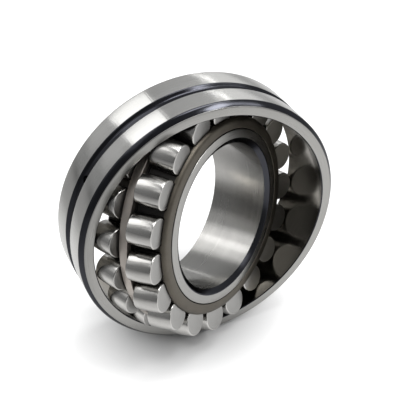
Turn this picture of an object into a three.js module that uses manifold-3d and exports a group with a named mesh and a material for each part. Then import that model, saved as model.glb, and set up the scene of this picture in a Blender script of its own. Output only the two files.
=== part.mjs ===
// Double-row spherical roller bearing, standing on its rim with the inner
// assembly swivelled out of the outer ring.
// Millimetres, +Z up, origin at the bearing centre. The outer ring's axis runs
// along Y and its front side faces -Y. The ring stands at z = -outerRadius.
import * as THREE from 'three';
import Module from 'manifold-3d';

const wasm = await Module();
wasm.setup();

const degree = Math.PI / 180;

// Driving dimensions. The roller centres lie on a sphere; the rings are built
// inwards and outwards from it, to a 60 mm bore and a 110 mm outside.
const pitchRadius = 44.85;
const rowOffset = 7.71;
const rollersPerRow = 19;
const rollerDiameter = 12.4;
const rollerLength = 10.5;
const outerWall = 3.7;
const innerSection = 14.85;
const shoulderWall = 5.7;
const width = 28;

// Attitude of the inner assembly as it rests
const swivelAngle = 30.3 * degree;
const swivelLean = 12.8 * degree;
const frontRowStart = 8.57 * degree;

// Clearances between neighbouring pieces
const runningGap = 0.25;
const sideGap = 0.3;
const endGap = 0.4;
const guideGap = 1;
const windowGap = 0.25;
const cageRaceGap = 2.05;

// Outer ring details
const outerCornerRadial = 1.8;
const outerCornerAxial = 2;
const grooveWidth = 4.7;
const grooveFloorWidth = 2.6;
const grooveDepth = 1.3;
const oilHoleDiameter = 3;
const oilHoleCount = 3;
const oilHoleStart = 149 * degree;

// Inner ring details
const boreCornerRadial = 2;
const boreCornerAxial = 1.5;

// Roller details, the crown slightly tighter than either raceway
const rollerCorner = 0.5;
const crownEasing = 1;
const innerRaceEasing = 0.3;

// Cage details
const cageSheet = 1.8;
const flangeThickness = 1.1;
const rimWidth = 1.3;
const rimRise = 0.9;

// Guide ring details
const guideHeight = 3.2;

const rowPitch = 2 * Math.PI / rollersPerRow;
const halfWidth = width / 2;
const rollerRadius = rollerDiameter / 2;
const raceRadius = pitchRadius + rollerRadius + runningGap;
const outerRadius = raceRadius + outerWall;
const boreRadius = pitchRadius - innerSection;
const shoulderRadius = boreRadius + shoulderWall;
const crownRadius = raceRadius - crownEasing;
const innerRaceRadius = crownRadius + innerRaceEasing;

// Each roller's axis is square to the line from the bearing centre to it
const contactAngle = Math.asin(rowOffset / pitchRadius);
const rowRadius = pitchRadius * Math.cos(contactAngle);

// The cage sheet lies between the rollers' axis line and the inner raceway
const cageInnerInset = rollerRadius + runningGap - cageRaceGap;
const cageOuterInset = cageInnerInset - cageSheet;

const ringFacets = 72;
const cageFacets = rollersPerRow * 3;
const rollerFacets = 18;
const cutterFacets = 12;
const raceSteps = 8;

// Radius of the rollers' axis line at a distance from the mid-plane
function axisLineRadius(fromMiddle) {
  return rowRadius - (fromMiddle - rowOffset) * Math.tan(contactAngle);
}

// Distance from the mid-plane of a roller's inner end face at a given radius
function innerEndAt(radius) {
  const centre = rowOffset - rollerLength / 2 * Math.cos(contactAngle);
  const centreRadius = rowRadius + rollerLength / 2 * Math.sin(contactAngle);
  return centre + (radius - centreRadius) * Math.tan(contactAngle);
}

// Distance from the mid-plane of a roller's outer end face at a given radius
function outerEndAt(radius) {
  return innerEndAt(radius) + rollerLength / Math.cos(contactAngle);
}

// Radius of the cage sheet, at a distance inwards from the rollers' axis line
function sheetRadius(fromMiddle, inset) {
  return axisLineRadius(fromMiddle) - inset / Math.cos(contactAngle);
}

// Flange of the cage, just outside the rollers' outer ends
const flangeEdge = sheetRadius(halfWidth, cageOuterInset);
const flangeBack = outerEndAt(flangeEdge) + endGap;
const flangeFace = flangeBack + flangeThickness;

// Solid turned about Y from a closed outline of [radius, y] corners
function turned(outline, facets, firstAngle = 0) {
  const points = outline.map(([radius, y]) => new THREE.Vector2(radius, y));
  points.push(points[0].clone());
  return new THREE.LatheGeometry(points, facets, firstAngle, 2 * Math.PI);
}

// Outline mirrored to the other side of the mid-plane, same winding
function mirrored(outline) {
  return outline.map(([radius, y]) => [radius, -y]).reverse();
}

function toSolid(geometry) {
  const flat = geometry.index ? geometry.toNonIndexed() : geometry;
  const source = flat.getAttribute('position');
  const corners = new Map();
  const vertices = [];
  const triangles = [];
  for (let i = 0; i < source.count; i += 3) {
    const face = [0, 1, 2].map((step) => {
      const place = [source.getX(i + step), source.getY(i + step), source.getZ(i + step)];
      const key = place.map((value) => Math.round(value * 1e4)).join(' ');
      if (!corners.has(key)) {
        corners.set(key, corners.size);
        vertices.push(...place);
      }
      return corners.get(key);
    });
    if (new Set(face).size === 3) {
      triangles.push(...face);
    }
  }
  return new wasm.Manifold(new wasm.Mesh({
    numProp: 3,
    vertProperties: new Float32Array(vertices),
    triVerts: new Uint32Array(triangles),
  }));
}

function toGeometry(solid) {
  const mesh = solid.getMesh();
  const geometry = new THREE.BufferGeometry();
  geometry.setAttribute('position', new THREE.Float32BufferAttribute(mesh.vertProperties, 3));
  geometry.setIndex(Array.from(mesh.triVerts));
  geometry.computeVertexNormals();
  return geometry;
}

// Position and turn of the roller at an angle about the inner assembly's axis.
// Local Y is the roller's own axis and points to its outer end.
function rollerFrame(angle, side) {
  const outward = new THREE.Vector3(Math.cos(angle), 0, Math.sin(angle));
  const along = new THREE.Vector3(0, side, 0)
    .multiplyScalar(Math.cos(contactAngle))
    .addScaledVector(outward, -Math.sin(contactAngle));
  const across = new THREE.Vector3().crossVectors(along, outward).normalize();
  const lift = new THREE.Vector3().crossVectors(across, along);
  const centre = outward.clone().multiplyScalar(rowRadius).setY(side * rowOffset);
  return new THREE.Matrix4().makeBasis(across, along, lift).setPosition(centre);
}

function steel(colour, roughness, metalness = 1) {
  return new THREE.MeshStandardMaterial({ color: colour, roughness, metalness });
}

const groundSteel = steel('#b9b6b1', 0.34);
const rollerSteel = steel('#c6c4c0', 0.22);
const cageSteel = steel('#6a645b', 0.55, 0.8);
const guideSteel = steel('#7b746b', 0.5, 0.8);

function mesh(name, geometry, material) {
  const body = new THREE.Mesh(geometry, material.clone());
  body.name = name;
  return body;
}

// Outer ring: spherical raceway, corner chamfers, oil groove and holes
function outerRing() {
  const chamferStart = outerRadius - outerCornerRadial;
  const chamferEnd = halfWidth - outerCornerAxial;
  const outline = [
    [chamferStart, -halfWidth],
    [outerRadius, -chamferEnd],
    [outerRadius, -grooveWidth / 2],
    [outerRadius - grooveDepth, -grooveFloorWidth / 2],
    [outerRadius - grooveDepth, grooveFloorWidth / 2],
    [outerRadius, grooveWidth / 2],
    [outerRadius, chamferEnd],
    [chamferStart, halfWidth],
  ];
  for (let step = 0; step <= raceSteps; step += 1) {
    const y = halfWidth * (1 - 2 * step / raceSteps);
    outline.push([Math.sqrt(raceRadius ** 2 - y ** 2), y]);
  }
  let solid = toSolid(turned(outline, ringFacets, Math.PI / ringFacets));
  const drill = new THREE.CylinderGeometry(
    oilHoleDiameter / 2, oilHoleDiameter / 2, outerRadius - raceRadius + 2, cutterFacets);
  for (let hole = 0; hole < oilHoleCount; hole += 1) {
    const angle = oilHoleStart + hole * 2 * Math.PI / oilHoleCount;
    const turn = new THREE.Matrix4().makeRotationY(-angle)
      .multiply(new THREE.Matrix4().makeTranslation((outerRadius + raceRadius) / 2, 0, 0))
      .multiply(new THREE.Matrix4().makeRotationZ(-Math.PI / 2));
    solid = solid.subtract(toSolid(drill.clone().applyMatrix4(turn)));
  }
  return mesh('outer_ring', toGeometry(solid), groundSteel);
}

// Radius of the inner ring's raceway at a distance from the mid-plane
function innerRaceAt(fromMiddle) {
  const centreDistance = pitchRadius - rollerRadius - runningGap + innerRaceRadius;
  const across = centreDistance * Math.sin(contactAngle) - fromMiddle;
  return centreDistance * Math.cos(contactAngle) - Math.sqrt(innerRaceRadius ** 2 - across ** 2);
}

// Inner ring: bore with chamfers, two raceways, stepped shoulders
function innerRing() {
  const raceEnd = flangeBack - endGap;
  const side = [
    [boreRadius, boreCornerAxial - halfWidth],
    [boreRadius + boreCornerRadial, -halfWidth],
    [shoulderRadius, -halfWidth],
    [shoulderRadius, -raceEnd],
  ];
  const race = [];
  for (let step = 0; step < raceSteps / 2; step += 1) {
    const fromMiddle = raceEnd * (1 - 2 * step / raceSteps);
    race.push([innerRaceAt(fromMiddle), -fromMiddle]);
  }
  const half = [...side, ...race];
  const outline = [...half, [innerRaceAt(0), 0], ...mirrored(half)];
  return mesh('inner_ring', turned(outline, ringFacets), groundSteel);
}

// Guide ring floating between the rows, its sides follow the roller ends
const guideBore = sheetRadius(0, cageOuterInset) + rimRise + sideGap;
const guideRadius = guideBore + guideHeight;
function guideRing() {
  const half = [
    [guideBore, guideGap - innerEndAt(guideBore)],
    [guideRadius, guideGap - innerEndAt(guideRadius)],
  ];
  return mesh('guide_ring', turned([...half, ...mirrored(half)], ringFacets), guideSteel);
}

// Window cage of one row: flange at the side, cone between the rollers, inner rim
function cage(name, side, start) {
  const rimStart = sideGap;
  const rimEnd = rimStart + rimWidth;
  const outline = [
    [shoulderRadius + sideGap, -flangeFace],
    [sheetRadius(flangeBack, cageOuterInset) - flangeThickness, -flangeFace],
    [sheetRadius(flangeBack, cageOuterInset), -flangeBack],
    [sheetRadius(rimEnd, cageOuterInset), -rimEnd],
    [guideBore - sideGap, -rimEnd],
    [guideBore - sideGap, -rimStart],
    [sheetRadius(rimStart, cageInnerInset), -rimStart],
    [sheetRadius(flangeBack, cageInnerInset), -flangeBack],
    [shoulderRadius + sideGap, -flangeBack],
  ];
  let solid = toSolid(turned(side < 0 ? outline : mirrored(outline), cageFacets, Math.PI / 2 - start));
  const cutterRadius = (rollerRadius + windowGap) / Math.cos(Math.PI / cutterFacets);
  const cutter = new THREE.CylinderGeometry(
    cutterRadius, cutterRadius, rollerLength + 2 * sideGap, cutterFacets, 1, false,
    Math.PI / cutterFacets);
  for (let index = 0; index < rollersPerRow; index += 1) {
    const frame = rollerFrame(start + index * rowPitch, side);
    solid = solid.subtract(toSolid(cutter.clone().applyMatrix4(frame)));
  }
  return mesh(name, toGeometry(solid), cageSteel);
}

// Barrel roller: crowned side, eased corners, flat ends
function rollerGeometry() {
  const halfLength = rollerLength / 2;
  const crownAt = (y) => rollerRadius - crownRadius + Math.sqrt(crownRadius ** 2 - y ** 2);
  const cornerStart = halfLength - rollerCorner;
  const points = [
    [0, -halfLength],
    [crownAt(cornerStart) - rollerCorner, -halfLength],
    [crownAt(cornerStart), -cornerStart],
    [rollerRadius, 0],
    [crownAt(cornerStart), cornerStart],
    [crownAt(cornerStart) - rollerCorner, halfLength],
    [0, halfLength],
  ].map(([radius, y]) => new THREE.Vector2(radius, y));
  return new THREE.LatheGeometry(points, rollerFacets);
}

function rollerRow(rowName, side, start) {
  const row = new THREE.Group();
  for (let index = 0; index < rollersPerRow; index += 1) {
    const name = `roller_${rowName}_${String(index + 1).padStart(2, '0')}`;
    const roller = mesh(name, rollerGeometry(), rollerSteel);
    roller.applyMatrix4(rollerFrame(start + index * rowPitch, side));
    row.add(roller);
  }
  return row;
}

// Inner assembly swivelled about its own centre, the rear row half a pitch on
const innerAssembly = new THREE.Group();
const rearRowStart = frontRowStart + rowPitch / 2;
innerAssembly.add(
  innerRing(),
  guideRing(),
  cage('cage_front', -1, frontRowStart),
  cage('cage_rear', 1, rearRowStart),
  rollerRow('front', -1, frontRowStart),
  rollerRow('rear', 1, rearRowStart),
);
const swivelAxis = new THREE.Vector3(-Math.sin(swivelLean), 0, Math.cos(swivelLean));
innerAssembly.quaternion.setFromAxisAngle(swivelAxis, swivelAngle);

const bearing = new THREE.Group();
bearing.name = 'spherical_roller_bearing';
bearing.add(outerRing(), innerAssembly);

export default bearing;
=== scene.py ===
from math import asin, cos, pi, radians, sin, sqrt, tan

import bmesh
import bpy
from mathutils import Matrix, Vector

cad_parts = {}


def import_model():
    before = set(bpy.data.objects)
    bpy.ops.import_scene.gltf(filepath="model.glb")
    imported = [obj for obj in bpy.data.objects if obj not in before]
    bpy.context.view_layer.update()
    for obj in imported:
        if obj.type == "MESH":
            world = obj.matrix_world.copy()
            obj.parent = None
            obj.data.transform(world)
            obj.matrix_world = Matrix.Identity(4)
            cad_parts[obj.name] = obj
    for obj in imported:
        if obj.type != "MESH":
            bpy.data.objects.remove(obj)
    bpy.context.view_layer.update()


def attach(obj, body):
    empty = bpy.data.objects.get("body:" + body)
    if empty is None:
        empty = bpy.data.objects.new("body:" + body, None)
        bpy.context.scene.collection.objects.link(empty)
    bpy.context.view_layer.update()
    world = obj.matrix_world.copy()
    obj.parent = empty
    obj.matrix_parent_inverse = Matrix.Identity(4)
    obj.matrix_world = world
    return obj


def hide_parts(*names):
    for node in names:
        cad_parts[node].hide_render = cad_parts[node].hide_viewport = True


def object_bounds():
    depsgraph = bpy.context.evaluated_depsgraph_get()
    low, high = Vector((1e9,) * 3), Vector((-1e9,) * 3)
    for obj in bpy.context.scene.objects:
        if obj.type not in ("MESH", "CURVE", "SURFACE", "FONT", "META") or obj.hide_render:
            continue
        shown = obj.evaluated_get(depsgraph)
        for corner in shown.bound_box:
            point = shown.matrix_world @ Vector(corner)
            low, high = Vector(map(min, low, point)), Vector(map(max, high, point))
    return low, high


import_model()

# Sizes in millimetres, the same as the solids
PITCH_RADIUS = 44.85
ROW_OFFSET = 7.71
ROLLERS_PER_ROW = 19
ROLLER_RADIUS = 6.2
ROLLER_LENGTH = 10.5
OUTER_WALL = 3.7
INNER_SECTION = 14.85
SHOULDER_WALL = 5.7
HALF_WIDTH = 14.0
SWIVEL_ANGLE = radians(30.3)
SWIVEL_LEAN = radians(12.8)
FRONT_ROW_START = radians(8.57)
RUNNING_GAP = 0.25
SIDE_GAP = 0.3
END_GAP = 0.4
GUIDE_GAP = 1.0
WINDOW_GAP = 0.25
CAGE_RACE_GAP = 2.05
GROOVE_WIDTH = 4.7
GROOVE_FLOOR_WIDTH = 2.6
GROOVE_DEPTH = 1.3
CORNER_RADIAL = 1.8
CORNER_AXIAL = 2.0
OIL_HOLE_RADIUS = 1.5
OIL_HOLE_START = radians(149)
OIL_HOLES = 3
BORE_CORNER_RADIAL = 2.0
BORE_CORNER_AXIAL = 1.5
CROWN_EASING = 1.0
INNER_RACE_EASING = 0.3
CAGE_SHEET = 1.8
FLANGE_THICKNESS = 1.1
RIM_WIDTH = 1.3
RIM_RISE = 0.9
GUIDE_HEIGHT = 3.2

# Roundings of the corners in millimetres, where those of the solids are plain
SIDE_FACE_EASE = 0.3
OUTSIDE_EASE = 0.5
GROOVE_EDGE_EASE = 0.3
GROOVE_FLOOR_EASE = 0.6
MOUTH_LIP = 0.35
MOUTH_EASE = 0.12
SHOULDER_FOOT_EASE = 0.1
GUIDE_BORE_EASE = 0.2
GUIDE_RIM_EASE = 0.35
FLANGE_EDGE_EASE = 0.25
BEND_FRONT_EASE = 0.9
BEND_BACK_EASE = 0.6
BEND_INSIDE_EASE = 0.4
RIM_ROOT_EASE = 0.3
SHEET_EDGE_EASE = 0.2
WINDOW_EASE = 0.6
ROLLER_EASE = 0.45

# Facets round the pieces, and steps along their curves
OUTER_FACETS = 256
INNER_FACETS = 192
CAGE_FACETS = 8 * ROLLERS_PER_ROW
ROLLER_FACETS = 64
WINDOW_FACETS = 40
OIL_HOLE_FACETS = 32
OUTER_RACE_STEPS = 28
INNER_RACE_STEPS = 14
CROWN_STEPS = 10
ROLLER_EDGE_STEPS = 5
CORNER_STEPS = 3

# Share of a side that a rounding may take, and the radius that counts as on the axis
LARGEST_EASE_SHARE = 0.45
ON_AXIS = 0.000001

# Edges that turn by more than these angles look sharp
RING_CREASE = radians(32)
CAGE_CREASE = radians(35)
GUIDE_CREASE = radians(40)
ROLLER_CREASE = radians(40)

# Detail of the finishes: noise scales per metre, stretches, depths in metres and shares
NOISE_SPAN = (0.3, 0.7)
LINE_STRETCH = 0.02
LINE_ROUGHNESS_SPREAD = 0.1
SMEAR_SCALE = 190.0
SMEAR_STRETCH = 0.35
SMEAR_ROUGHNESS_SPREAD = 0.12
WAVE_SCALE = 330.0
WAVE_STRETCH = 0.04
CLOUD_SCALE = 55.0
MOTTLE_SCALE = 160.0
GRAIN_SHARE = 0.3
MATT_SHARE = 1.2
GLOSSY_SHARE = 0.85
GRAIN_DEPTH = 0.00002
WAVE_DEPTH = 0.0001
STEEL_GRAZING = 0.72
QUARTER_TURN = 0.25

# The floor: its tone, a darker tone painted on it as shade, the white that it gives off, and the share by
# which areas of it give off less
FLOOR_REACH = 4.0
STAND_POINT = (-0.0065, 0.0065)
FLOOR_TONE = (0.50, 0.50, 0.50)
FAR_PAINTED_SHADE_TONE = (0.36, 0.36, 0.36)
FILL_STRENGTH = 0.72
FRONT_DIMMING = 0.5
LEFT_DIMMING = 0.65
RIGHT_DIMMING = 0.4

# Headings over the floor, as parts of X and Y
BACK_LEFT = (-1.0, 0.3)
FRONT_LEFT = (-0.43, -0.9)
LEFT = (-0.9, -0.4)

# How squarely a point lies in the back left heading, from outside its sector to inside
BACK_SECTOR_SPAN = (0.2, 0.9)

# Where the floor's areas set in, in metres from the stand point or along a heading or axis
SHADOW_SPAN = (0.019, 0.053)
FAR_PAINTED_SHADE_SPAN = (0.10, 0.25)
UNLIT_SPAN = (0.09, 0.19)
FRONT_SPAN = (0.05, 0.25)
LEFT_SPAN = (0.03, 0.095)
LEFT_FRONT_SPAN = (0.03, 0.09)
LEFT_BACK_SPAN = (-0.035, 0.015)
RIGHT_SPAN = (0.06, 0.17)
RIGHT_BACK_SPAN = (-0.08, -0.04)

# The world, dimmer from the left and from the front
WORLD_TONE = (0.98, 0.99, 1.0)
LEFT_STRENGTH = 0.33
RIGHT_STRENGTH = 0.66
LEFT_TO_RIGHT_SPAN = (-1.0, 0.65)
FRONT_STRENGTH = 0.45
BACK_STRENGTH = 1.0
FRONT_TO_BACK_SPAN = (-0.6, 0.0)

# The camera, in millimetres of lens and sensor and metres of place
LENS = 90.9
SENSOR_WIDTH = 36
CAMERA_PLACE = (-0.1387, -0.2980, 0.2405)
CAMERA_SIGHT = (0.3445, 0.7353, -0.5837)

MM = 0.001
RACE_RADIUS = PITCH_RADIUS + ROLLER_RADIUS + RUNNING_GAP
OUTER_RADIUS = RACE_RADIUS + OUTER_WALL
BORE_RADIUS = PITCH_RADIUS - INNER_SECTION
SHOULDER_RADIUS = BORE_RADIUS + SHOULDER_WALL
CROWN_RADIUS = RACE_RADIUS - CROWN_EASING
INNER_RACE_RADIUS = CROWN_RADIUS + INNER_RACE_EASING
CONTACT_ANGLE = asin(ROW_OFFSET / PITCH_RADIUS)
ROW_RADIUS = PITCH_RADIUS * cos(CONTACT_ANGLE)
ROW_PITCH = 2 * pi / ROLLERS_PER_ROW
REAR_ROW_START = FRONT_ROW_START + ROW_PITCH / 2
CAGE_INNER_INSET = ROLLER_RADIUS + RUNNING_GAP - CAGE_RACE_GAP
CAGE_OUTER_INSET = CAGE_INNER_INSET - CAGE_SHEET

# The inner assembly is modelled straight, then swivelled as it rests
SWIVEL = Matrix.Rotation(SWIVEL_ANGLE, 4, Vector((-sin(SWIVEL_LEAN), 0, cos(SWIVEL_LEAN))))


def axis_line_radius(from_middle):
    """Radius of the rollers' axis line at a distance from the mid-plane."""
    return ROW_RADIUS - (from_middle - ROW_OFFSET) * tan(CONTACT_ANGLE)


def inner_end_at(radius):
    """Distance from the mid-plane of a roller's inner end face at a radius."""
    centre = ROW_OFFSET - ROLLER_LENGTH / 2 * cos(CONTACT_ANGLE)
    centre_radius = ROW_RADIUS + ROLLER_LENGTH / 2 * sin(CONTACT_ANGLE)
    return centre + (radius - centre_radius) * tan(CONTACT_ANGLE)


def sheet_radius(from_middle, inset):
    """Radius of the cage sheet, at a distance inwards from the rollers' axis line."""
    return axis_line_radius(from_middle) - inset / cos(CONTACT_ANGLE)


def inner_race_at(from_middle):
    """Radius of the inner ring's raceway at a distance from the mid-plane."""
    centre = PITCH_RADIUS - ROLLER_RADIUS - RUNNING_GAP + INNER_RACE_RADIUS
    across = centre * sin(CONTACT_ANGLE) - from_middle
    return centre * cos(CONTACT_ANGLE) - sqrt(INNER_RACE_RADIUS ** 2 - across ** 2)


FLANGE_BACK = (inner_end_at(sheet_radius(HALF_WIDTH, CAGE_OUTER_INSET))
               + ROLLER_LENGTH / cos(CONTACT_ANGLE) + END_GAP)
FLANGE_FACE = FLANGE_BACK + FLANGE_THICKNESS
GUIDE_BORE = sheet_radius(0, CAGE_OUTER_INSET) + RIM_RISE + SIDE_GAP
GUIDE_RADIUS = GUIDE_BORE + GUIDE_HEIGHT


def roller_frame(angle, side):
    """Place of a roller in the straight assembly, local Y along it to its outer end."""
    outward = Vector((cos(angle), 0, sin(angle)))
    along = Vector((0, side, 0)) * cos(CONTACT_ANGLE) - outward * sin(CONTACT_ANGLE)
    across = along.cross(outward).normalized()
    lift = across.cross(along)
    centre = outward * ROW_RADIUS + Vector((0, side * ROW_OFFSET, 0))
    turn = Matrix((across, along, lift)).transposed().to_4x4()
    return Matrix.Translation(centre * MM) @ turn


# Shader building

class Shader:
    """The nodes of a material or world, with short calls for adding and joining them."""

    def __init__(self, owner):
        owner.use_nodes = True
        self.owner = owner
        self.nodes = owner.node_tree.nodes
        self.links = owner.node_tree.links
        self.nodes.clear()

    def add(self, kind, **settings):
        node = self.nodes.new(kind)
        for key, value in settings.items():
            setattr(node, key, value)
        return node

    def join(self, source, target):
        self.links.new(source, target)

    def feed(self, sockets, values):
        """Gives each socket its value, which is a number or another node's output."""
        for socket, value in zip(sockets, values):
            if isinstance(value, (int, float)):
                socket.default_value = value
            else:
                self.join(value, socket)

    def close(self, surface, kind="ShaderNodeOutputMaterial"):
        """Joins the surface to the output, and returns the material or world."""
        self.join(surface, self.add(kind).inputs["Surface"])
        return self.owner

    def math(self, operation, *values):
        node = self.add("ShaderNodeMath", operation=operation)
        self.feed(node.inputs, values)
        return node.outputs[0]

    def times(self, first, *others):
        for other in others:
            first = self.math("MULTIPLY", first, other)
        return first

    def plus(self, first, second):
        return self.math("ADD", first, second)

    def blend(self, first, second, share):
        """The first value and, by its share, the second."""
        return self.plus(self.times(first, 1 - share), self.times(second, share))

    def vector(self, x, y, z):
        node = self.add("ShaderNodeCombineXYZ")
        self.feed(node.inputs, (x, y, z))
        return node.outputs[0]

    def split(self, vector):
        node = self.add("ShaderNodeSeparateXYZ")
        self.join(vector, node.inputs[0])
        return node.outputs

    def noise(self, vector, scale, detail, roughness=0.6):
        node = self.add("ShaderNodeTexNoise")
        node.inputs["Scale"].default_value = scale
        node.inputs["Detail"].default_value = detail
        node.inputs["Roughness"].default_value = roughness
        self.join(vector, node.inputs["Vector"])
        return node.outputs["Fac"]

    def ramp(self, value, low, high, span=NOISE_SPAN, course="LINEAR"):
        """From low at the start of the span to high at its end, and level beyond."""
        node = self.add("ShaderNodeMapRange", interpolation_type=course)
        node.inputs["From Min"].default_value = span[0]
        node.inputs["From Max"].default_value = span[1]
        node.inputs["To Min"].default_value = low
        node.inputs["To Max"].default_value = high
        self.join(value, node.inputs["Value"])
        return node.outputs["Result"]

    def soft_ramp(self, value, low, high, span):
        return self.ramp(value, low, high, span, "SMOOTHSTEP")

    def tint(self, factor, first, second):
        node = self.add("ShaderNodeMix", data_type="RGBA")
        self.join(factor, node.inputs["Factor"])
        node.inputs["A"].default_value = (*first, 1)
        node.inputs["B"].default_value = (*second, 1)
        return node.outputs["Result"]

    def bump(self, height, strength, depth, under=None):
        node = self.add("ShaderNodeBump")
        node.inputs["Strength"].default_value = strength
        node.inputs["Distance"].default_value = depth
        self.join(height, node.inputs["Height"])
        if under is not None:
            self.join(under, node.inputs["Normal"])
        return node.outputs["Normal"]

    def principled(self, metallic, grazing):
        """The surface itself. Less than 1 for grazing dims what it mirrors at a flat angle."""
        node = self.add("ShaderNodeBsdfPrincipled")
        node.inputs["Metallic"].default_value = metallic
        node.inputs["Specular Tint"].default_value = (grazing, grazing, grazing, 1)
        return node


def lines_round(shader, place, scale, stretch):
    """Noise drawn out into lines round the Y axis; a small stretch makes them long."""
    x, y, z = shader.split(place)
    radius = shader.math("SQRT", shader.plus(shader.times(x, x), shader.times(z, z)))
    drawn = shader.vector(shader.times(x, stretch), shader.plus(radius, y), shader.times(z, stretch))
    return shader.noise(drawn, scale, detail=3, roughness=0.65)


def waves_round(shader, place):
    """Noise drawn out along the Y axis, as the faint waves that grinding leaves."""
    x, y, z = shader.split(place)
    return shader.noise(shader.vector(x, shader.times(y, WAVE_STRETCH), z), WAVE_SCALE, detail=3)


def metal(name, dark, light, rough, line_scale, line_bump, anisotropic=0.0, patches=0.25, waves=0.0):
    """Ground or turned steel: fine lines round the axis, faint patches of colour and gloss."""
    shader = Shader(bpy.data.materials.new(name))
    place = shader.add("ShaderNodeTexCoord").outputs["Object"]
    lines = lines_round(shader, place, line_scale, LINE_STRETCH)
    smear = lines_round(shader, place, SMEAR_SCALE, SMEAR_STRETCH)
    cloud = shader.noise(place, CLOUD_SCALE, detail=3)
    bsdf = shader.principled(1.0, STEEL_GRAZING)
    colour = shader.ramp(shader.blend(lines, cloud, patches), 0.0, 1.0)
    shader.join(shader.tint(colour, dark, light), bsdf.inputs["Base Color"])
    spread = shader.times(shader.ramp(lines, 1 - LINE_ROUGHNESS_SPREAD, 1 + LINE_ROUGHNESS_SPREAD),
                          shader.ramp(smear, 1 - SMEAR_ROUGHNESS_SPREAD, 1 + SMEAR_ROUGHNESS_SPREAD))
    shader.join(shader.times(spread, rough), bsdf.inputs["Roughness"])
    normal = shader.bump(lines, line_bump, GRAIN_DEPTH)
    if waves:
        normal = shader.bump(waves_round(shader, place), waves, WAVE_DEPTH, normal)
    shader.join(normal, bsdf.inputs["Normal"])
    if anisotropic:
        tangent = shader.add("ShaderNodeTangent", direction_type="RADIAL", axis="Y")
        shader.join(tangent.outputs[0], bsdf.inputs["Tangent"])
        bsdf.inputs["Anisotropic"].default_value = anisotropic
        bsdf.inputs["Anisotropic Rotation"].default_value = QUARTER_TURN
    return shader.close(bsdf.outputs[0])


def coated(name, dark, light, rough, metallic, grain_scale, grain_bump, grazing=1.0):
    """Treated steel: mottled colour, uneven gloss and a fine grain."""
    shader = Shader(bpy.data.materials.new(name))
    place = shader.add("ShaderNodeTexCoord").outputs["Object"]
    mottle = shader.noise(place, MOTTLE_SCALE, detail=4)
    grain = shader.noise(place, grain_scale, detail=2)
    bsdf = shader.principled(metallic, grazing)
    colour = shader.ramp(shader.blend(mottle, grain, GRAIN_SHARE), 0.0, 1.0)
    shader.join(shader.tint(colour, dark, light), bsdf.inputs["Base Color"])
    gloss = shader.ramp(mottle, rough * GLOSSY_SHARE, rough * MATT_SHARE)
    shader.join(gloss, bsdf.inputs["Roughness"])
    shader.join(shader.bump(grain, grain_bump, GRAIN_DEPTH), bsdf.inputs["Normal"])
    return shader.close(bsdf.outputs[0])


ground_outside = metal("ground_outside", dark=(0.48, 0.475, 0.46), light=(0.55, 0.545, 0.53), rough=0.18,
                       line_scale=2600, line_bump=0.10, anisotropic=0.75, waves=0.35)
ground_face = metal("ground_face", dark=(0.27, 0.266, 0.255), light=(0.32, 0.316, 0.304), rough=0.30,
                    line_scale=3200, line_bump=0.15)
ground_inner = metal("ground_inner", dark=(0.27, 0.266, 0.256), light=(0.32, 0.316, 0.305), rough=0.30,
                     line_scale=3200, line_bump=0.15)
ground_bore = metal("ground_bore", dark=(0.31, 0.305, 0.295), light=(0.38, 0.375, 0.36), rough=0.24,
                    line_scale=1500, line_bump=0.10, anisotropic=0.8, waves=0.2)
# Lapped raceway steel. Its colour, far darker than the other ground steel, is painted shade for the inside
# of the rings; it is also tinted warm
lapped_race_painted_shade = metal("lapped_race_painted_shade", dark=(0.175, 0.164, 0.143), light=(0.23, 0.215, 0.19), rough=0.18,
                    line_scale=3000, line_bump=0.02)
roller_side = metal("roller_side", dark=(0.44, 0.432, 0.416), light=(0.48, 0.472, 0.456), rough=0.22,
                    line_scale=3600, line_bump=0.01, anisotropic=0.4, patches=0.5)
roller_end = metal("roller_end", dark=(0.25, 0.247, 0.24), light=(0.35, 0.345, 0.335), rough=0.36,
                   line_scale=4200, line_bump=0.35)
black_edge = coated("black_edge", dark=(0.035, 0.036, 0.041), light=(0.040, 0.041, 0.048), rough=0.16,
                    metallic=1.0, grain_scale=2500, grain_bump=0.1, grazing=0.6)
cage_steel = coated("cage_steel", dark=(0.070, 0.062, 0.050), light=(0.115, 0.103, 0.085), rough=0.42,
                    metallic=0.9, grain_scale=3000, grain_bump=0.3)
# Painted shade: a near-black copy of the cage steel, for the cage parts between and behind the rollers
# where shade falls
cage_painted_shade = coated("cage_painted_shade", dark=(0.011, 0.010, 0.009), light=(0.022, 0.020, 0.018), rough=0.40,
                    metallic=0.6, grain_scale=3000, grain_bump=0.3)
guide_steel = coated("guide_steel", dark=(0.34, 0.31, 0.28), light=(0.45, 0.41, 0.375), rough=0.38,
                     metallic=0.9, grain_scale=3000, grain_bump=0.3)


# Mesh building

def eased(corners):
    """Outline corners (radius, y, ease, finish) with each one rounded by its ease.

    The finish belongs to the stretch from the corner to the next one.
    """
    points = []
    for index, (radius, y, ease, finish) in enumerate(corners):
        corner = Vector((radius, y))
        if ease <= 0:
            points.append((corner, finish))
            continue
        before = corners[index - 1]
        after = corners[(index + 1) % len(corners)]
        back = Vector(before[:2]) - corner
        ahead = Vector(after[:2]) - corner
        start = corner + back.normalized() * min(ease, back.length * LARGEST_EASE_SHARE)
        end = corner + ahead.normalized() * min(ease, ahead.length * LARGEST_EASE_SHARE)
        for step in range(CORNER_STEPS + 1):
            share = step / CORNER_STEPS
            point = start * (1 - share) ** 2 + corner * 2 * share * (1 - share) + end * share ** 2
            points.append((point, finish if step == CORNER_STEPS else before[3]))
    return points


def mirrored(corners, closing):
    """The outline run backwards beyond the mid-plane, its last stretch in the closing finish."""
    finishes = [closing] + [corner[3] for corner in corners]
    flipped = [(radius, -y, ease, finish) for (radius, y, ease, _), finish in zip(corners, finishes)]
    return flipped[::-1]


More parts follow.
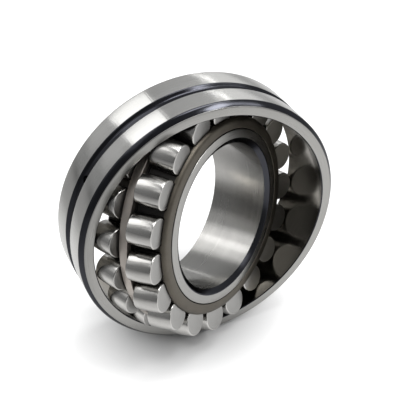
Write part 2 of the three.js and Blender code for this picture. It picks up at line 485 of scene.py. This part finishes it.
def turned(name, corners, finishes, facets, closed=True):
    """Mesh in metres of an outline turned about Y: a ring where it is closed, or else a solid bar."""
    outline = eased(corners) if closed else [(Vector(corner[:2]), corner[3]) for corner in corners]
    build = bmesh.new()
    rows = []
    for point, _ in outline:
        if point.x < ON_AXIS:
            rows.append([build.verts.new((0, point.y * MM, 0))])
            continue
        row = []
        for step in range(facets):
            angle = 2 * pi * step / facets
            row.append(build.verts.new(
                (point.x * cos(angle) * MM, point.y * MM, point.x * sin(angle) * MM)))
        rows.append(row)
    last = len(rows) if closed else len(rows) - 1
    for index in range(last):
        here = rows[index]
        there = rows[(index + 1) % len(rows)]
        for step in range(facets):
            after = (step + 1) % facets
            if len(here) == 1:
                face = build.faces.new((here[0], there[after], there[step]))
            elif len(there) == 1:
                face = build.faces.new((here[step], here[after], there[0]))
            else:
                face = build.faces.new((here[step], here[after], there[after], there[step]))
            face.material_index = outline[index][1]
    bmesh.ops.recalc_face_normals(build, faces=build.faces)
    mesh = bpy.data.meshes.new(name)
    build.to_mesh(mesh)
    build.free()
    for finish in finishes:
        mesh.materials.append(finish)
    return mesh


def smooth(mesh, crease):
    mesh.shade_smooth()
    mesh.set_sharp_from_angle(angle=crease)


def placed(name, data, matrix=None):
    """Object in the scene with a mesh, lamp or camera, at the origin if no matrix is given."""
    thing = bpy.data.objects.new(name, data)
    bpy.context.scene.collection.objects.link(thing)
    if matrix is not None:
        thing.matrix_world = matrix
    return thing


def cut(piece, cutter_meshes):
    """Cuts the joined cutters, given as (mesh, matrix), out of the piece."""
    build = bmesh.new()
    for mesh, matrix in cutter_meshes:
        copy = mesh.copy()
        copy.transform(matrix)
        build.from_mesh(copy)
        bpy.data.meshes.remove(copy)
    joined = bpy.data.meshes.new(piece.name + "_cutters")
    build.to_mesh(joined)
    build.free()
    for finish in piece.data.materials:
        joined.materials.append(finish)
    tool = placed(piece.name + "_cutters", joined)
    step = piece.modifiers.new("cut", "BOOLEAN")
    step.operation = "DIFFERENCE"
    step.solver = "EXACT"
    step.object = tool
    bpy.context.view_layer.update()
    result = bpy.data.meshes.new_from_object(piece.evaluated_get(bpy.context.evaluated_depsgraph_get()))
    piece.modifiers.clear()
    piece.data = result
    bpy.data.objects.remove(tool)


def stand_in(piece, node):
    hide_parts(node)
    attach(piece, node)


# Outer ring

def outer_ring():
    outside, face, race, edge = range(4)
    mouth = sqrt(RACE_RADIUS ** 2 - HALF_WIDTH ** 2)
    race_end = HALF_WIDTH - MOUTH_LIP
    front = [
        (mouth + MOUTH_LIP, -HALF_WIDTH, MOUTH_EASE, face),
        (OUTER_RADIUS - CORNER_RADIAL, -HALF_WIDTH, SIDE_FACE_EASE, edge),
        (OUTER_RADIUS, CORNER_AXIAL - HALF_WIDTH, OUTSIDE_EASE, outside),
        (OUTER_RADIUS, -GROOVE_WIDTH / 2, GROOVE_EDGE_EASE, edge),
        (OUTER_RADIUS - GROOVE_DEPTH, -GROOVE_FLOOR_WIDTH / 2, GROOVE_FLOOR_EASE, edge),
    ]
    corners = front + mirrored(front, edge)
    for step in range(OUTER_RACE_STEPS + 1):
        y = race_end * (1 - 2 * step / OUTER_RACE_STEPS)
        finish = race if step < OUTER_RACE_STEPS else edge
        corners.append((sqrt(RACE_RADIUS ** 2 - y ** 2), y, 0, finish))
    mesh = turned("outer_ring_body", corners, [ground_outside, ground_face, lapped_race_painted_shade, black_edge],
                  OUTER_FACETS)
    piece = placed("outer_ring_body", mesh)
    cut(piece, oil_holes(edge))
    smooth(piece.data, RING_CREASE)
    stand_in(piece, "outer_ring")


def oil_holes(finish):
    """Drills for the oil holes, each long enough to pass through the wall."""
    drill = turned("oil_drill", [
        (0, -OUTER_WALL, 0, finish), (OIL_HOLE_RADIUS, -OUTER_WALL, 0, finish),
        (OIL_HOLE_RADIUS, OUTER_WALL, 0, finish), (0, OUTER_WALL, 0, finish)], [], OIL_HOLE_FACETS, False)
    reach = Matrix.Translation(((OUTER_RADIUS + RACE_RADIUS) / 2 * MM, 0, 0))
    holes = []
    for index in range(OIL_HOLES):
        angle = OIL_HOLE_START + index * 2 * pi / OIL_HOLES
        holes.append((drill, Matrix.Rotation(-angle, 4, "Y") @ reach @ Matrix.Rotation(-pi / 2, 4, "Z")))
    return holes


# Inner ring

def inner_ring():
    bore, face, race, edge = range(4)
    race_end = FLANGE_BACK - END_GAP
    side = [
        (BORE_RADIUS, BORE_CORNER_AXIAL - HALF_WIDTH, 0, edge),
        (BORE_RADIUS + BORE_CORNER_RADIAL, -HALF_WIDTH, SIDE_FACE_EASE, face),
        (SHOULDER_RADIUS, -HALF_WIDTH, SIDE_FACE_EASE, edge),
        (SHOULDER_RADIUS, -race_end, SHOULDER_FOOT_EASE, edge),
    ]
    for step in range(INNER_RACE_STEPS):
        from_middle = race_end * (1 - step / INNER_RACE_STEPS)
        side.append((inner_race_at(from_middle), -from_middle, 0, race))
    corners = side + [(inner_race_at(0), 0, 0, race)] + mirrored(side, bore)
    mesh = turned("inner_ring_body", corners, [ground_bore, ground_inner, lapped_race_painted_shade, black_edge],
                  INNER_FACETS)
    smooth(mesh, RING_CREASE)
    stand_in(placed("inner_ring_body", mesh, SWIVEL), "inner_ring")


# Guide ring

def guide_ring():
    steel = 0
    front = [
        (GUIDE_BORE, GUIDE_GAP - inner_end_at(GUIDE_BORE), GUIDE_BORE_EASE, steel),
        (GUIDE_RADIUS, GUIDE_GAP - inner_end_at(GUIDE_RADIUS), GUIDE_RIM_EASE, steel),
    ]
    mesh = turned("guide_ring_body", front + mirrored(front, steel), [guide_steel], INNER_FACETS)
    smooth(mesh, GUIDE_CREASE)
    stand_in(placed("guide_ring_body", mesh, SWIVEL), "guide_ring")


# Cages

def cage(node, side, start):
    steel, shade = range(2)
    rim_start = SIDE_GAP
    rim_end = rim_start + RIM_WIDTH
    flange_bore = SHOULDER_RADIUS + SIDE_GAP
    rim_radius = GUIDE_BORE - SIDE_GAP
    bend_radius = sheet_radius(FLANGE_BACK, CAGE_OUTER_INSET)
    # Finish 1 is painted shade: from the bend on, the outer sheet, the rim, the inner side and the window
    # walls take the near-black copy of the cage steel; the flange's front face, its bend and its bore edge
    # keep the cage steel
    corners = [
        (flange_bore, -FLANGE_FACE, FLANGE_EDGE_EASE, steel),
        (bend_radius - FLANGE_THICKNESS, -FLANGE_FACE, BEND_FRONT_EASE, steel),
        (bend_radius, -FLANGE_BACK, BEND_BACK_EASE, shade),
        (sheet_radius(rim_end, CAGE_OUTER_INSET), -rim_end, RIM_ROOT_EASE, shade),
        (rim_radius, -rim_end, SHEET_EDGE_EASE, shade),
        (rim_radius, -rim_start, SHEET_EDGE_EASE, shade),
        (sheet_radius(rim_start, CAGE_INNER_INSET), -rim_start, SHEET_EDGE_EASE, shade),
        (sheet_radius(FLANGE_BACK, CAGE_INNER_INSET), -FLANGE_BACK, BEND_INSIDE_EASE, shade),
        (flange_bore, -FLANGE_BACK, SHEET_EDGE_EASE, steel),
    ]
    if side > 0:
        corners = mirrored(corners, steel)
    piece = placed(node + "_shell", turned(node + "_shell", corners, [cage_steel, cage_painted_shade], CAGE_FACETS))
    window = window_mesh(node + "_window", shade)
    cut(piece, [(window, roller_frame(start + index * ROW_PITCH, side))
                for index in range(ROLLERS_PER_ROW)])
    piece.matrix_world = SWIVEL
    smooth(piece.data, CAGE_CREASE)
    stand_in(piece, node)


def window_mesh(name, finish):
    """A roller with the gap round it that its window leaves."""
    radius = ROLLER_RADIUS + WINDOW_GAP
    reach = ROLLER_LENGTH / 2 + SIDE_GAP
    inner_end = [
        (0, -reach, 0, finish),
        (radius - WINDOW_EASE, -reach, 0, finish),
        (radius, WINDOW_EASE - reach, 0, finish),
    ]
    return turned(name, inner_end + mirrored(inner_end, finish), [], WINDOW_FACETS, False)


# Rollers

def crown_at(y):
    """Radius of a roller at a distance from its middle."""
    return ROLLER_RADIUS - CROWN_RADIUS + sqrt(CROWN_RADIUS ** 2 - y ** 2)


def roller_mesh():
    side, end = range(2)
    half = ROLLER_LENGTH / 2
    crown_end = half - ROLLER_EASE
    inner_end = [(0, -half, 0, end)]
    for step in range(ROLLER_EDGE_STEPS + 1):
        turn = pi / 2 * step / ROLLER_EDGE_STEPS
        inner_end.append((crown_at(crown_end) - ROLLER_EASE * (1 - sin(turn)),
                          -crown_end - ROLLER_EASE * cos(turn), 0, side))
    corners = inner_end.copy()
    for step in range(1, CROWN_STEPS):
        y = crown_end * (2 * step / CROWN_STEPS - 1)
        corners.append((crown_at(y), y, 0, side))
    corners += mirrored(inner_end, end)
    mesh = turned("barrel_roller", corners, [roller_side, roller_end], ROLLER_FACETS, False)
    smooth(mesh, ROLLER_CREASE)
    return mesh


def roller_row(row, side, start, mesh):
    for index in range(ROLLERS_PER_ROW):
        node = f"roller_{row}_{index + 1:02d}"
        matrix = SWIVEL @ roller_frame(start + index * ROW_PITCH, side)
        stand_in(placed(node + "_barrel", mesh, matrix), node)


# Floor, world, lights and camera

def heading(shader, x, y, parts):
    """How far a point of the floor lies out in a heading."""
    return shader.plus(shader.times(x, parts[0]), shader.times(y, parts[1]))


def floor_fill(shader, x, y, away, far_back):
    """Strength of the white that the floor gives off.

    There is none where the bearing's shadow lies, and less where the metal mirrors dark surroundings.
    """
    front_left = heading(shader, x, y, FRONT_LEFT)
    left = heading(shader, x, y, LEFT)
    dimmings = [
        far_back,
        shader.ramp(front_left, 0.0, FRONT_DIMMING, FRONT_SPAN),
        shader.times(shader.soft_ramp(left, 0.0, 1.0, LEFT_SPAN),
                     shader.ramp(y, 1.0, 0.0, LEFT_BACK_SPAN),
                     shader.soft_ramp(front_left, 0.0, LEFT_DIMMING, LEFT_FRONT_SPAN)),
        shader.times(shader.soft_ramp(x, 0.0, RIGHT_DIMMING, RIGHT_SPAN),
                     shader.soft_ramp(y, 0.0, 1.0, RIGHT_BACK_SPAN)),
    ]
    fill = shader.ramp(away, 0.0, FILL_STRENGTH, SHADOW_SPAN)
    for dimming in dimmings:
        fill = shader.times(fill, shader.math("SUBTRACT", 1.0, dimming))
    return fill


def floor():
    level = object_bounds()[0][2]
    shader = Shader(bpy.data.materials.new("studio_floor"))
    place = shader.add("ShaderNodeTexCoord").outputs["Object"]
    x, y, _ = shader.split(place)
    distance = shader.add("ShaderNodeVectorMath", operation="DISTANCE")
    shader.join(place, distance.inputs[0])
    distance.inputs[1].default_value = (*STAND_POINT, level)
    away = distance.outputs["Value"]
    back_left = heading(shader, x, y, BACK_LEFT)
    sector = shader.ramp(shader.math("DIVIDE", back_left, away), 0.0, 1.0, BACK_SECTOR_SPAN)

    diffuse = shader.add("ShaderNodeBsdfDiffuse")
    # Painted shade: the floor's colour darkens far to the back left, standing in for the dimmer
    # surroundings that the metal mirrors there
    painted_far_shade = shader.times(shader.ramp(back_left, 0.0, 1.0, FAR_PAINTED_SHADE_SPAN), sector)
    shader.join(shader.tint(painted_far_shade, FLOOR_TONE, FAR_PAINTED_SHADE_TONE), diffuse.inputs["Color"])

    unlit = shader.times(shader.ramp(back_left, 0.0, 1.0, UNLIT_SPAN), sector)
    fill = floor_fill(shader, x, y, away, unlit)
    glow = shader.add("ShaderNodeEmission")
    path = shader.add("ShaderNodeLightPath")
    glossy_or_clear = shader.math("MAXIMUM", path.outputs["Is Glossy Ray"],
                                  path.outputs["Is Transmission Ray"])
    seen = shader.math("MAXIMUM", path.outputs["Is Camera Ray"], glossy_or_clear)
    shader.join(shader.times(seen, fill), glow.inputs["Strength"])

    both = shader.add("ShaderNodeAddShader")
    shader.join(diffuse.outputs[0], both.inputs[0])
    shader.join(glow.outputs[0], both.inputs[1])
    mesh = bpy.data.meshes.new("studio_floor")
    square = [(-FLOOR_REACH, -FLOOR_REACH, level), (FLOOR_REACH, -FLOOR_REACH, level),
              (FLOOR_REACH, FLOOR_REACH, level), (-FLOOR_REACH, FLOOR_REACH, level)]
    mesh.from_pydata(square, [], [(0, 1, 2, 3)])
    mesh.materials.append(shader.close(both.outputs[0]))
    placed("studio_floor", mesh)


def world():
    shader = Shader(bpy.data.worlds.new("studio"))
    x, y, _ = shader.split(shader.add("ShaderNodeTexCoord").outputs["Generated"])
    background = shader.add("ShaderNodeBackground")
    background.inputs["Color"].default_value = (*WORLD_TONE, 1)
    strength = shader.times(shader.ramp(x, LEFT_STRENGTH, RIGHT_STRENGTH, LEFT_TO_RIGHT_SPAN),
                            shader.ramp(y, FRONT_STRENGTH, BACK_STRENGTH, FRONT_TO_BACK_SPAN))
    shader.join(strength, background.inputs["Strength"])
    bpy.context.scene.world = shader.close(background.outputs[0], "ShaderNodeOutputWorld")


def softbox(name, direction, distance, width, height, power, along=(0, 0, 1)):
    """Soft rectangular lamp turned towards the bearing, its height in the direction of along."""
    lamp = bpy.data.lights.new(name, "AREA")
    lamp.shape = "RECTANGLE"
    lamp.size = width
    lamp.size_y = height
    lamp.energy = power
    aim = Vector(direction).normalized()
    side = Vector(along).cross(aim).normalized()
    turn = Matrix((side, aim.cross(side), aim)).transposed().to_4x4()
    placed(name, lamp, Matrix.Translation(aim * distance) @ turn)


def lights():
    # Direction from the bearing, distance, width and height in metres, power in watts
    softbox("key_box", (0.25, 0.08, 0.95), 0.85, 0.50, 0.50, 5.2)
    softbox("back_left_box", (-0.285, 0.62, 0.695), 0.9, 0.37, 0.60, 1.12, (-0.25, -0.67, 0.70))
    softbox("top_left_box", (-0.50, 0.31, 0.81), 0.9, 0.42, 0.42, 1.05)
    softbox("far_left_box", (-0.79, 0.20, 0.58), 0.95, 0.40, 0.45, 0.27)
    softbox("low_left_box", (-0.52, 0.78, 0.35), 0.95, 0.30, 0.30, 0.07)
    softbox("back_right_box", (0.61, 0.70, 0.37), 0.9, 0.32, 0.42, 0.27)
    softbox("back_strip", (0.46, 0.78, 0.42), 0.9, 0.03, 0.26, 0.08, (0.55, -0.62, 0.55))
    softbox("front_right_box", (0.40, -0.42, 0.82), 1.0, 0.24, 0.18, 2.45)
    softbox("right_strip", (0.66, -0.32, 0.68), 1.0, 0.08, 0.42, 0.75, (0.65, 0.20, -0.60))
    softbox("low_front_box", (0.66, -0.58, 0.48), 1.0, 0.22, 0.22, 0.35)
    softbox("front_box", (0.14, -0.82, 0.56), 1.0, 0.55, 0.42, 1.05)
    softbox("front_left_box", (-0.52, -0.27, 0.81), 0.95, 0.36, 0.36, 0.36)


def camera():
    data = bpy.data.cameras.new("camera")
    data.lens = LENS
    data.sensor_width = SENSOR_WIDTH
    holder = placed("camera", data)
    holder.location = CAMERA_PLACE
    holder.rotation_euler = Vector(CAMERA_SIGHT).to_track_quat("-Z", "Y").to_euler()
    bpy.context.scene.camera = holder


camera()
world()
lights()
floor()
outer_ring()
inner_ring()
guide_ring()
cage("cage_front", -1, FRONT_ROW_START)
cage("cage_rear", 1, REAR_ROW_START)
barrel = roller_mesh()
roller_row("front", -1, FRONT_ROW_START, barrel)
roller_row("rear", 1, REAR_ROW_START, barrel)

bpy.context.scene.view_settings.view_transform = "Standard"
